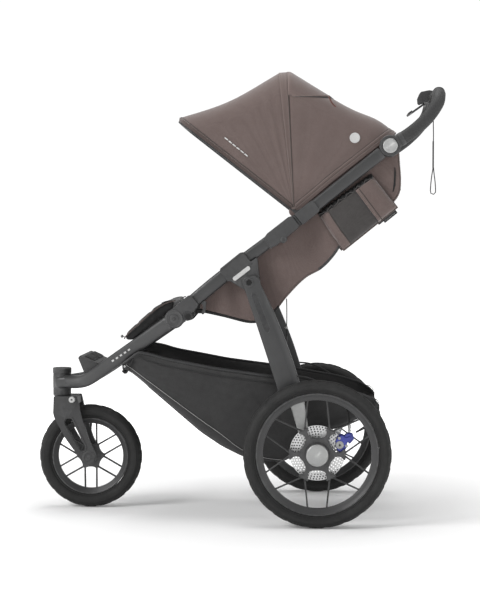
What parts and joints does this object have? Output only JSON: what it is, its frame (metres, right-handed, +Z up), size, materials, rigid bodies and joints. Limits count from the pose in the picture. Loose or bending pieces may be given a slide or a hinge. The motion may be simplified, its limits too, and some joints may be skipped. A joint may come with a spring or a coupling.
{
  "type": "jogging stroller",
  "caption": "Folding jogging stroller with a swivelling front wheel, large spoked rear wheels, a hooded bucket seat, storage basket and tilting push handle.",
  "frame": {"origin": "centre of the footprint box on the floor", "axes": "+Z up, -X towards the front wheel; nodes named left lie at -Y"},
  "size_m": [1.1794, 0.664, 1.2666],
  "materials": {
    "frame": "satin",
    "plastic": "matte",
    "fabric": "matte",
    "basket_fabric": "matte",
    "tyre": "matte",
    "rim": "satin",
    "silver": "satin",
    "disc": "satin",
    "caliper": "gloss",
    "grip": "matte",
    "cord": "matte"
  },
  "bodies": {
    "rear_frame": {"rear_leg_left": "frame", "rear_leg_right": "frame", "axle_carrier_left": "silver", "axle_carrier_right": "silver", "rear_axle_tube": "frame", "brake_caliper_left": "caliper", "brake_caliper_right": "caliper", "cable_barrel_left": "silver", "cable_barrel_right": "silver", "brake_cable_left": "grip", "brake_cable_right": "grip", "basket": "basket_fabric"},
    "upper_frame": {"side_rail_left": "frame", "side_rail_right": "frame", "leg_bracket_left": "plastic", "leg_bracket_right": "plastic", "leg_bracket_bar_left": "silver", "leg_bracket_bar_right": "silver", "rail_sleeve_left": "plastic", "rail_sleeve_right": "plastic", "canopy_mount_left": "plastic", "canopy_mount_right": "plastic", "front_joint_housing_left": "plastic", "front_joint_housing_right": "plastic", "handle_joint_left": "plastic", "handle_joint_right": "plastic", "seat": "fabric", "side_pocket_left": "fabric", "side_pocket_right": "fabric", "recline_cord": "cord", "canopy_rear_panel": "fabric"},
    "front_frame": {"front_arm_left": "frame", "front_arm_right": "frame", "head_tube": "plastic", "foot_plate": "plastic", "foot_grip_left": "grip", "foot_grip_right": "grip", "calf_rest": "basket_fabric"},
    "caster": {"fork": "plastic"},
    "lock_pin": {"swivel_lock": "silver"},
    "front_wheel": {"front_tyre": "tyre", "front_rim": "rim"},
    "rear_wheel_left": {"rear_tyre_left": "tyre", "rear_rim_left": "rim", "hub_cap_left": "silver", "brake_disc_left": "disc"},
    "rear_wheel_right": {"rear_tyre_right": "tyre", "rear_rim_right": "rim", "hub_cap_right": "silver", "brake_disc_right": "disc"},
    "handle": {"handle_bar": "grip", "lever_clamp": "plastic", "wrist_strap": "cord"},
    "button_left": {"handle_button_left": "silver"},
    "button_right": {"handle_button_right": "silver"},
    "lever": {"brake_lever": "plastic"},
    "mid_bow": {"canopy_mid_bow": "frame", "canopy_front_panel": "fabric"},
    "front_bow": {"canopy_front_bow": "frame"}
  },
  "joints": [
    {"name": "frame_fold", "type": "hinge", "parent": "rear_frame", "child": "upper_frame", "pos_m": [0.04225, 0, 0.67], "axis": [0, 1, 0], "range_deg": [0, 84], "deforming": ["basket"]},
    {"name": "front_fold", "type": "hinge", "parent": "upper_frame", "child": "front_frame", "pos_m": [-0.16775, 0, 0.568], "axis": [0, 1, 0], "range_deg": [0, 120.5], "deforming": ["basket"]},
    {"name": "caster_swivel", "type": "hinge", "parent": "front_frame", "child": "caster", "pos_m": [-0.52275, 0, 0.331], "axis": [0, 0, 1], "continuous": true},
    {"name": "front_wheel_spin", "type": "hinge", "parent": "caster", "child": "front_wheel", "pos_m": [-0.43775, 0, 0.152], "axis": [0, 1, 0], "continuous": true},
    {"name": "lock_pull", "type": "slide", "parent": "caster", "child": "lock_pin", "axis": [0, -1, 0], "range_m": [0, 0.006], "stiffness_N_per_m": 300, "springref_m": -0.002},
    {"name": "rear_wheel_left_spin", "type": "hinge", "parent": "rear_frame", "child": "rear_wheel_left", "pos_m": [0.23025, -0.3, 0.203], "axis": [0, 1, 0], "continuous": true},
    {"name": "rear_wheel_right_spin", "type": "hinge", "parent": "rear_frame", "child": "rear_wheel_right", "pos_m": [0.23025, 0.3, 0.203], "axis": [0, 1, 0], "continuous": true},
    {"name": "handle_tilt", "type": "hinge", "parent": "upper_frame", "child": "handle", "pos_m": [0.42925, 0, 1.046], "axis": [0, 1, 0], "range_deg": [-35, 40]},
    {"name": "handle_button_left_press", "type": "slide", "parent": "handle", "child": "button_left", "axis": [0, 1, 0], "range_m": [0, 0.0035], "stiffness_N_per_m": 500, "springref_m": -0.001},
    {"name": "handle_button_right_press", "type": "slide", "parent": "handle", "child": "button_right", "axis": [0, -1, 0], "range_m": [0, 0.0035], "stiffness_N_per_m": 500, "springref_m": -0.001},
    {"name": "lever_squeeze", "type": "hinge", "parent": "handle", "child": "lever", "pos_m": [0.53625, 0, 1.181], "axis": [-0.5807, 0, 0.8141], "range_deg": [0, 20], "stiffness_Nm_per_rad": 0.6, "springref_deg": -5.73},
    {"name": "canopy_fold", "type": "hinge", "parent": "upper_frame", "child": "mid_bow", "pos_m": [0.16425, 0, 0.867], "axis": [0, 1, 0], "range_deg": [0, 42], "deforming": ["canopy_rear_panel", "canopy_front_panel"]},
    {"name": "canopy_front_fold", "type": "hinge", "parent": "mid_bow", "child": "front_bow", "pos_m": [0.16425, 0, 0.867], "axis": [0, 1, 0], "range_deg": [0, 38], "deforming": ["canopy_front_panel"]}
  ],
  "couplings": [
    {"joint": "front_fold", "follows": "frame_fold", "ratio": 1.4286},
    {"joint": "canopy_front_fold", "follows": "canopy_fold", "ratio": 0.9}
  ]
}
